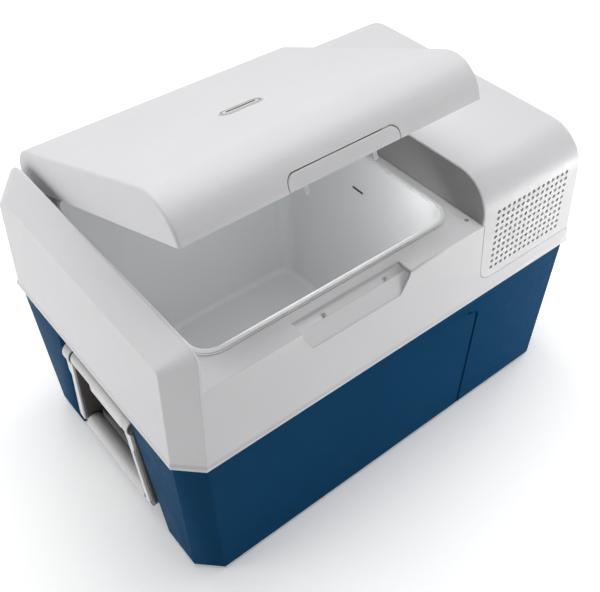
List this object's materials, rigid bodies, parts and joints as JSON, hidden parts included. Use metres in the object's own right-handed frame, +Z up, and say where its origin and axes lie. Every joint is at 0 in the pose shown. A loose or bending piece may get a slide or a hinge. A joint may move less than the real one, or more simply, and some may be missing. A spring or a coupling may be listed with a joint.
{
  "type": "compressor cooler fridge",
  "caption": "Portable compressor cooler: tapered insulated tub, pale collar, lift-up lid held part-open, vented hood over the cooling unit and a folding carry handle at each end.",
  "frame": {"origin": "on the ground, under the middle of the body", "axes": "+X along the length towards the hood, -Y the front where the lid opens, +Z up"},
  "size_m": [0.699, 0.45, 0.5821],
  "materials": {
    "blue_shell": "moulded polypropylene with a fine grain",
    "grey_shell": "satin moulded plastic",
    "hood_wall": "satin moulded plastic, mid grey",
    "liner_white": "smooth white vacuum-formed lining",
    "rim_bead": "smooth light grey",
    "black_plastic": "black moulded plastic",
    "evaporator_metal": "rolled sheet",
    "foam": "rigid foamed-in-place insulation",
    "galvanised_sheet": "galvanised",
    "rubber": "moulded rubber",
    "compressor_black": "satin black paint",
    "steel_hardware": "zinc plated",
    "fin_metal": "bare fins",
    "copper_pipe": "drawn copper, brazed",
    "display_glass": "tinted window",
    "board_green": "circuit board",
    "button_grey": "soft-touch caps",
    "badge": "smooth blank plate",
    "dark_bracket": "glass-filled nylon, dark brown-grey",
    "handle_grey": "satin moulded plastic"
  },
  "bodies": {
    "body": {"lower_shell": "blue_shell", "upper_frame": "grey_shell", "hood_cover": "grey_shell", "hood_side_wall": "hood_wall", "inner_liner": "liner_white", "rim_trim": "rim_bead", "sensor_cover": "black_plastic", "evaporator": "evaporator_metal", "insulation_foam": "foam", "bulkhead": "galvanised_sheet", "rubber_feet": "rubber", "base_plate": "galvanised_sheet", "compressor": "compressor_black", "compressor_mounts": "rubber", "compressor_bolts": "steel_hardware", "condenser": "fin_metal", "fan_frame": "black_plastic", "filter_drier": "copper_pipe", "suction_line": "copper_pipe", "capillary_tube": "copper_pipe", "control_module": "black_plastic", "panel_bezel": "black_plastic", "display_window": "display_glass", "display_board": "board_green", "dc_inlet": "black_plastic", "mains_inlet": "black_plastic", "hinge_leaves_body": "steel_hardware", "hinge_screws": "steel_hardware", "hinge_pins": "steel_hardware", "left_handle_bracket": "dark_bracket", "left_handle_barrel": "handle_grey", "left_handle_pin": "steel_hardware", "right_handle_bracket": "dark_bracket", "right_handle_barrel": "handle_grey", "right_handle_pin": "steel_hardware"},
    "fan": {"fan_rotor": "black_plastic"},
    "lid": {"lid_outer": "grey_shell", "lid_badge": "badge", "lid_inner": "liner_white", "lid_foam": "foam", "lid_gasket": "rubber", "latch_bracket": "black_plastic", "latch_pin": "steel_hardware", "latch_spring": "steel_hardware", "hinge_leaves_lid": "steel_hardware"},
    "latch": {"latch_flap": "grey_shell"},
    "left_bail": {"left_bail": "dark_bracket", "left_bail_grip": "handle_grey", "left_bail_facings": "handle_grey"},
    "right_bail": {"right_bail": "dark_bracket", "right_bail_grip": "handle_grey", "right_bail_facings": "handle_grey"},
    "power_button": {"power_button": "button_grey"},
    "mode_button": {"mode_button": "button_grey"},
    "down_button": {"down_button": "button_grey"},
    "up_button": {"up_button": "button_grey"}
  },
  "joints": [
    {"name": "lid_hinge", "type": "hinge", "parent": "body", "child": "lid", "pos_m": [-0.095, 0.214, 0.3826], "axis": [-1, 0, 0], "range_deg": [-22.5, 72.5]},
    {"name": "latch_pivot", "type": "hinge", "parent": "lid", "child": "latch", "pos_m": [-0.087, -0.17505, 0.55393], "axis": [-1, 0, 0], "range_deg": [0, 7], "stiffness_Nm_per_rad": 0.4, "springref_deg": -11.46},
    {"name": "fan_spin", "type": "hinge", "parent": "body", "child": "fan", "pos_m": [0.207, -0.1925, 0.343], "axis": [0, 1, 0], "continuous": true},
    {"name": "left_bail_swing", "type": "hinge", "parent": "body", "child": "left_bail", "pos_m": [-0.3335, 0, 0.205], "axis": [0, 1, 0], "range_deg": [0, 88]},
    {"name": "right_bail_swing", "type": "hinge", "parent": "body", "child": "right_bail", "pos_m": [0.3335, 0, 0.205], "axis": [0, -1, 0], "range_deg": [0, 88]},
    {"name": "power_push", "type": "slide", "parent": "body", "child": "power_button", "axis": [-0.9985, 0, -0.0549], "range_m": [0, 0.0012], "stiffness_N_per_m": 500, "springref_m": -0.0006},
    {"name": "mode_push", "type": "slide", "parent": "body", "child": "mode_button", "axis": [-0.9985, 0, -0.0549], "range_m": [0, 0.0012], "stiffness_N_per_m": 500, "springref_m": -0.0006},
    {"name": "down_push", "type": "slide", "parent": "body", "child": "down_button", "axis": [-0.9985, 0, -0.0549], "range_m": [0, 0.0012], "stiffness_N_per_m": 500, "springref_m": -0.0006},
    {"name": "up_push", "type": "slide", "parent": "body", "child": "up_button", "axis": [-0.9985, 0, -0.0549], "range_m": [0, 0.0012], "stiffness_N_per_m": 500, "springref_m": -0.0006}
  ]
}
